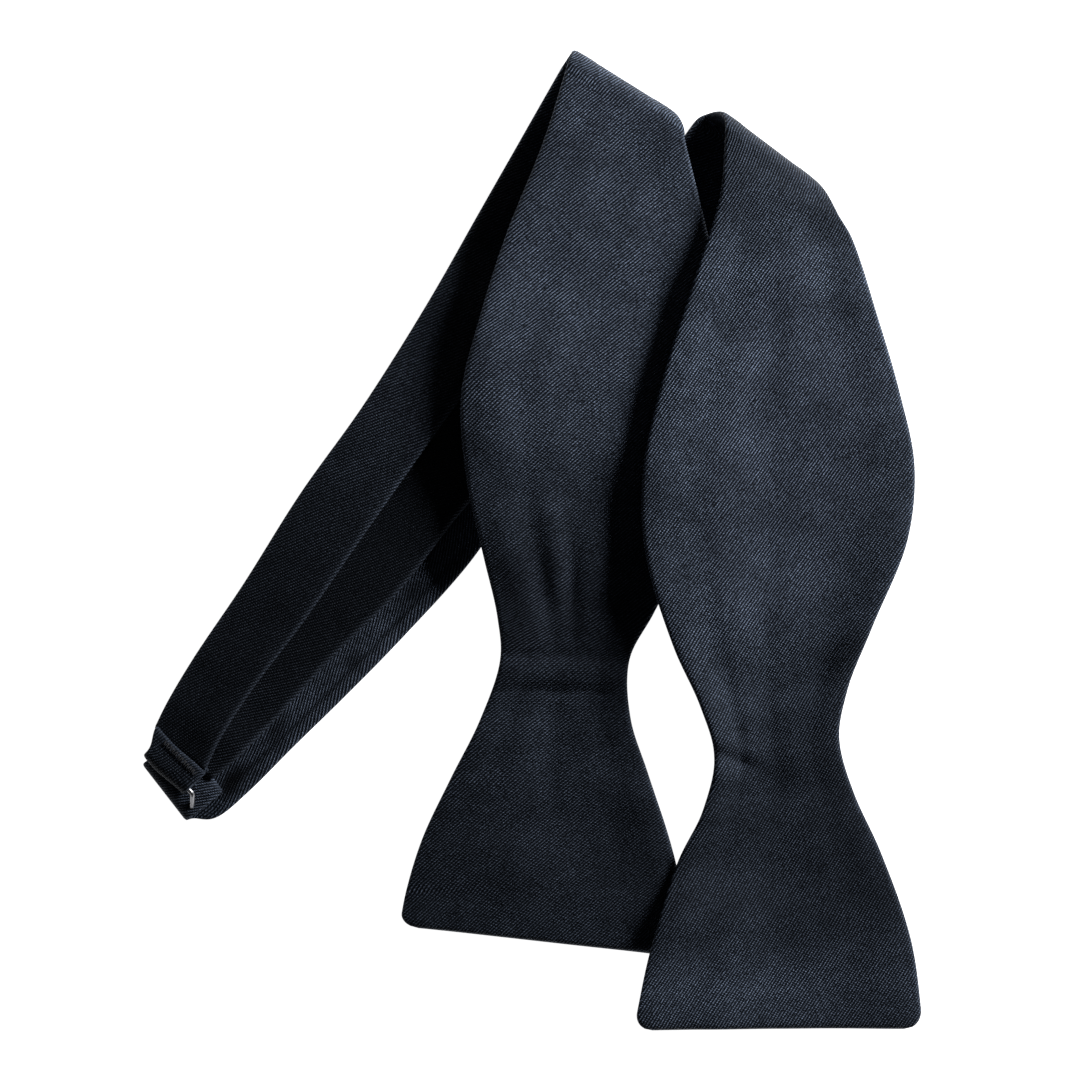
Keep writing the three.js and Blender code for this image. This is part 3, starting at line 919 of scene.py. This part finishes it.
def halves():
    """Both halves with their drape, made once, because the right one lies on the left one."""
    if not HALVES:
        left, right = Half("left"), Half("right")
        left.drape(LEFT_LIFTS, LEFT_WRINKLES, WAVES, BAND_TILT)
        right.drape(RIGHT_LIFTS, RIGHT_WRINKLES, WAVES, BAND_TILT)
        settle(right, right.strip.run > right.roll[1] + 4, left, 0.35)
        HALVES.update(left=left, right=right)
    return HALVES


def make_half(side):
    """Makes one half, with the way its ribs slope at each distance along it."""
    cloth = settings()[0]
    half = halves()[side]
    roll = half.roll
    if side == "right":
        front = [(roll[1], -0.67), (roll[1] + 90, -0.68), (roll[1] + 220, -0.62)]
        back = [(0, 0.65), (roll[0], 0.65), (roll[1] + 40, 0.8)]
    else:
        front = [(roll[1], -1.02), (roll[1] + 110, -1.0), (roll[1] + 220, -1.1)]
        back = [(0, 0.7), (roll[0], 0.7), (roll[1] + 40, 0.9)]
    doubled(half, cloth.thickness / MM, cloth.puff / MM, front, back, cloth.pitch / MM, finishes())


class BOWTIE_OT_left_half(bpy.types.Operator):
    """Builds the two cloths and the interlining of the left half"""

    bl_idname = "bowtie.left_half"
    bl_label = "Left Half"

    def execute(self, context):
        make_half("left")
        return {"FINISHED"}


class BOWTIE_OT_right_half(bpy.types.Operator):
    """Builds the two cloths and the interlining of the right half"""

    bl_idname = "bowtie.right_half"
    bl_label = "Right Half"

    def execute(self, context):
        make_half("right")
        return {"FINISHED"}


class BOWTIE_OT_return_strip(bpy.types.Operator):
    """Builds the band's return, from its turn round the hook to its turn round the slide"""

    bl_idname = "bowtie.return_strip"
    bl_label = "Return Strip"

    def execute(self, context):
        cloth = settings()[0]
        along, inward = along_axis(RIGHT_END["angle"])
        at = np.array(RIGHT_END["at"])
        far = at + RIGHT_END["width"] * along
        leaf_shares = np.linspace(1, 0, 12)[:, None]
        dip = np.array([0, 0, -1.25]) * smooth((leaf_shares - 0.75) / 0.25)
        top = np.array([0, 0, TURN_RADIUS])
        leaf = [p + top + leaf_shares * 11.0 * inward + dip for p in (at, far)]
        turn = turn_rows(RIGHT_END, TURN_RADIUS, 0, 180)
        shares = np.linspace(1, 0, 700)[1:]
        low = np.array([0, 0, RETURN_MIDDLE])
        run = [edge_curve(RETURN_RUN, k, shares) + low for k in (0, 1)]
        ease = smooth((shares - 0.93) / 0.07)[:, None]
        meet = [edge_curve(RETURN_RUN, k, np.array([1.0])) + low for k in (0, 1)]
        run = [r + ease * (t[-1] - m) for r, t, m in zip(run, turn, meet)]
        slide_way, leftward = along_axis(SLIDE_ANGLE)
        side_way = -leftward
        bar = np.array([*SLIDE_AT, 1.25]) + slide_way
        lane = np.linspace(0, 1, 20)[:, None]
        tail, bend, leaf_top = [], [], []
        for k, sign in ((0, -1), (1, 1)):
            edge = bar + sign * RETURN_HALF_WIDTH * side_way
            target = edge - [0, 0, SLIDE_TURN_RADIUS]
            tail.append(run[k][-1] + lane[1:] * (target - run[k][-1]))
            angle = np.radians(np.linspace(0, 180, 16))[1:, None]
            arc = np.sin(angle) * slide_way - np.cos(angle) * np.array([0, 0, 1])
            bend.append(edge + SLIDE_TURN_RADIUS * arc)
            leaf_top.append(edge + [0, 0, SLIDE_TURN_RADIUS] - lane[1:] * 8.0 * slide_way)
        edges = [[leaf[k], turn[k][1:], run[k], tail[k], bend[k], leaf_top[k]] for k in (0, 1)]
        strip = strip_through(edges, 0.7, 22, 2.0)
        s = strip.run
        length = s[-1]
        half_thick = 0.3 + 0.25 * smooth((length - 24 - s) / 6)
        ripple = smooth((s - 20) / 12) * smooth((length - 60 - s) / 30)
        x = strip.share
        wave = 0.5 + 0.5 * np.sin(s / 7.3 + 1.1 * np.sin(s / 17.0))
        strip.grid[..., 2] += (ripple * wave)[:, None] * 1.1 * smooth((x - 0.35) / 0.4) * (1 - 0.4 * x)
        flat_run = smooth((s - 24) / 10) * smooth((length - 60 - s) / 20)
        strip.grid[..., 2] += flat_run[:, None] * 0.6 * np.sin(np.pi * np.clip((x - 0.8) / 0.2, 0, 1))
        # Painted shade: a narrow dark line along the strip beside its raised right edge.
        nap = RETURN_PAINTED_LIGHT * (1 - 0.75 * flat_run[:, None] * np.exp(-(((x - 0.79) / 0.035) ** 2)))
        # Painted shadows: the rib colour darkened round each listed point.
        for cx, cy, longer, wider, painted_shade_share in RETURN_PAINTED_SHADOWS:
            dx, dy = strip.grid[..., 0] - cx, strip.grid[..., 1] - cy
            far_along = (dx * 0.56 + dy * 0.83) / longer
            far_across = (dx * 0.83 - dy * 0.56) / wider
            nap = nap * (1 - painted_shade_share * np.exp(-((far_along**2 + far_across**2) ** 2)))
        slopes = [(0, -0.55), (1, -0.55)]
        pitch = cloth.pitch / MM
        material = finishes()["black_twill"]
        piece, low, high = single_cloth("return_strip", strip, half_thick, slopes, pitch, nap, material)
        (length - 22) * MM
        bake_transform(piece)
        fold_up(piece, low, high)
        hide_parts("right_end_loop", "return_run", "return_end_loop")
        area = outline_area(strip)
        return {"FINISHED"}


class BOWTIE_OT_turned_end(bpy.types.Operator):
    """Builds the upper band's end, turned over the hook's wire and stitched down"""

    bl_idname = "bowtie.turned_end"
    bl_label = "Turned End"

    def execute(self, context):
        pitch = settings()[0].pitch / MM
        radius = np.array([0, 0, TURN_RADIUS])
        along, inward = along_axis(LEFT_END["angle"])
        at = np.array(LEFT_END["at"])
        far = at + LEFT_END["width"] * along
        lane = np.linspace(1, 0, 14)[:, None]
        back = lane[::-1][1:]
        leaf = [p - radius + lane * 7.5 * inward for p in (at, far)]
        turn = turn_rows(LEFT_END, TURN_RADIUS, 180, 0)
        flap = [p + radius + back * 6.2 * inward for p in (at, far)]
        flap = [f - np.array([0, 0, 0.5]) * back**2 for f in flap]
        flap[0] = flap[0] - 3.0 * smooth(back) * along
        edges = [[leaf[k], turn[k][1:], flap[k]] for k in (0, 1)]
        strip = strip_through(edges, 0.45, 22, 2.0, relax=4)
        sway = 0.5 * np.sin(strip.share * 5.0) * smooth((strip.run - 6)[:, None] / 4)
        strip.grid[..., :2] += sway[..., None] * [-0.5, -0.5]
        half_thick = np.full(len(strip.run), 0.55)
        material = finishes()["black_twill"]
        slopes = [(0, 0.55), (1, 0.55)]
        made = single_cloth("left_turned_end", strip, half_thick, slopes, pitch, TURNED_END_PAINTED_LIGHT, material)
        piece, low, high = made
        fold_up(piece, low, high)
        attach(piece, "left_band")
        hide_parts("left_end_loop")
        outline_area(strip)
        return {"FINISHED"}


def stitch_row(name, start, end, count, reach, body, node):
    """Small slanted stitches in a row, each an arch of thread over the cloth."""
    trim = settings()[1]
    start, end = np.array(start), np.array(end)
    step = (end - start) / count
    way = step / np.linalg.norm(step)
    side = np.array([-way[1], way[0], 0])
    rise = np.array([0, 0, STITCH_HEIGHT])
    lines = []
    for i in range(count):
        foot = start + step * (i + 0.5)
        slant = 0.25 * step * (1 if i % 2 else -1)
        arch = [(-1, -0.6), (-0.75, 0.6), (0, 1.0), (0.75, 0.6), (1, -0.6)]
        lines.append([(foot + side * reach * a + slant * a + rise * b) * MM for a, b in arch])
    piece = thread_piece(name, lines, trim.thread, finishes()["black_thread"])
    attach(piece, body)
    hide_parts(node)


class BOWTIE_OT_stitches(bpy.types.Operator):
    """Sews the two bartacks that hold the turned ends"""

    bl_idname = "bowtie.stitches"
    bl_label = "Bartacks"

    def execute(self, context):
        along, inward = along_axis(LEFT_END["angle"])
        base = np.array(LEFT_END["at"]) + inward * 4.4 + [0, 0, 2.0] + CENTRE
        start, end = base + along * 1.5, base + along * 13.0
        stitch_row("left_end_stitches", start, end, 22, 0.75, "left_band", "left_end_bartack")
        slide_way, leftward = along_axis(SLIDE_ANGLE)
        side_way = -leftward
        base = np.array([*SLIDE_AT, 2.5]) - slide_way * 5.2 + CENTRE
        start, end = base - side_way * 6, base + side_way * 6
        stitch_row("return_end_stitches", start, end, 20, 0.7, "adjuster", "return_bartack")
        return {"FINISHED"}


class BOWTIE_OT_hook(bpy.types.Operator):
    """Bends the neck hook from round wire"""

    bl_idname = "bowtie.hook"
    bl_label = "Neck Hook"

    def execute(self, context):
        trim = settings()[1]
        points = [np.array(p) + CENTRE for p in HOOK_POINTS]
        line = [points[0]]
        for a, b, c in zip(points, points[1:], points[2:]):
            for t in (0.25, 0.5, 0.75):
                line.append(a + (b - a) * t if t < 0.6 else b + (a - b) / np.linalg.norm(a - b) * 1.6)
            line.append(b)
            line.append(b + (c - b) / np.linalg.norm(c - b) * 1.6)
        line.append((line[-1] + points[-1]) / 2)
        line.append(points[-1])
        wire = [p * MM for p in line]
        piece = thread_piece("neck_hook_wire", [wire], trim.wire, finishes()["nickelled_steel"])
        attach(piece, "hook")
        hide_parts("neck_hook")
        return {"FINISHED"}


class BOWTIE_OT_slide(bpy.types.Operator):
    """Rounds the edges of the slide that sets the band's length"""

    bl_idname = "bowtie.slide"
    bl_label = "Slide"

    def execute(self, context):
        trim = settings()[1]
        bpy.ops.object.select_all(action="DESELECT")
        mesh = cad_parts["slide_adjuster"].data.copy()
        piece = bpy.data.objects.new("slide_buckle", mesh)
        bpy.context.scene.collection.objects.link(piece)
        piece.select_set(True)
        bpy.context.view_layer.objects.active = piece
        bpy.ops.object.mode_set(mode="EDIT")
        bpy.ops.mesh.select_all(action="SELECT")
        bpy.ops.mesh.remove_doubles(threshold=0.00002)
        bpy.ops.mesh.dissolve_limited(angle_limit=math.radians(2))
        bpy.ops.object.mode_set(mode="OBJECT")
        bevel = piece.modifiers.new("edges", "BEVEL")
        bevel.width = trim.bevel
        bevel.segments = 3
        bevel.limit_method = "ANGLE"
        bevel.angle_limit = math.radians(40)
        bpy.ops.object.modifier_apply(modifier="edges")
        bpy.ops.object.shade_smooth_by_angle(angle=math.radians(35))
        piece.data.materials.clear()
        piece.data.materials.append(finishes()["nickelled_steel"])
        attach(piece, "adjuster")
        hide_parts("slide_adjuster")
        return {"FINISHED"}


def area_light(name, place, target, size, power):
    bpy.ops.object.light_add(type="AREA", location=place)
    light = bpy.context.object
    light.name = name
    light.rotation_euler = (Vector(target) - Vector(place)).to_track_quat("-Z", "Y").to_euler()
    light.data.shape = "RECTANGLE"
    light.data.size, light.data.size_y = size
    light.data.energy = power


class BOWTIE_OT_stage(bpy.types.Operator):
    """Sets out the pale table, the soft lights and the camera that looks straight down"""

    bl_idname = "bowtie.stage"
    bl_label = "Table, Lights and Camera"

    def execute(self, context):
        stage = settings()[2]
        bpy.ops.object.select_all(action="DESELECT")
        bpy.ops.mesh.primitive_plane_add(size=stage.floor, location=(0, 0, CAD_BOX[0][2] - 0.0002))
        floor = bpy.context.object
        floor.name = "floor"
        table = Finish("pale_table")
        table.shade(Base_Color=(0.85, 0.85, 0.86), Roughness=0.9)
        table.shade(Emission_Color=(1, 1, 1), Emission_Strength=1.0)
        floor.data.materials.append(table.material)
        area_light("key", (0.46, 0.32, 0.225), (0.02, 0.04, 0), (0.16, 0.16), stage.key)
        area_light("fill", (-0.3, -0.2, 0.9), (0, 0, 0), (1.0, 1.0), stage.fill)
        world = bpy.data.worlds.new("room")
        world.use_nodes = True
        world.node_tree.nodes["Background"].inputs["Color"].default_value = (0.9, 0.93, 1.0, 1)
        world.node_tree.nodes["Background"].inputs["Strength"].default_value = 0.02
        scene = context.scene
        scene.world = world
        scene.view_settings.view_transform = "Standard"
        middle = 0.0025
        bpy.ops.object.camera_add(location=(middle, 0, stage.height), rotation=(0, 0, 0))
        camera = bpy.context.object
        camera.data.sensor_width = 36
        camera.data.lens = 36 * (stage.height - 0.006) / stage.frame_side
        camera.data.clip_end = 40
        scene.camera = camera
        return {"FINISHED"}


class BOWTIE_PT_parts(bpy.types.Panel):
    """Lists the pieces of the bow tie"""

    bl_idname = "BOWTIE_PT_parts"
    bl_label = "Bow Tie"
    bl_space_type = "VIEW_3D"
    bl_region_type = "UI"
    bl_category = "Bow Tie"

    def draw(self, context):
        for group in settings():
            box = self.layout.box()
            for name in group.__annotations__:
                box.prop(group, name)
        for operator in OPERATORS:
            self.layout.operator(operator.bl_idname)


GROUPS = {"bow_tie_cloth": BowTieCloth, "bow_tie_trim": BowTieTrim, "bow_tie_stage": BowTieStage}
OPERATORS = [
    BOWTIE_OT_left_half,
    BOWTIE_OT_right_half,
    BOWTIE_OT_return_strip,
    BOWTIE_OT_turned_end,
    BOWTIE_OT_stitches,
    BOWTIE_OT_hook,
    BOWTIE_OT_slide,
    BOWTIE_OT_stage,
]


def register():
    for group in [*GROUPS.values(), *OPERATORS, BOWTIE_PT_parts]:
        bpy.utils.register_class(group)
    for name, group in GROUPS.items():
        setattr(bpy.types.Scene, name, PointerProperty(type=group))


def unregister():
    for name in GROUPS:
        delattr(bpy.types.Scene, name)
    for group in reversed([*GROUPS.values(), *OPERATORS, BOWTIE_PT_parts]):
        bpy.utils.unregister_class(group)


def main():
    register()
    for operator in OPERATORS:
        area, name = operator.bl_idname.split(".")
        getattr(getattr(bpy.ops, area), name)()


if __name__ == "__main__":
    main()
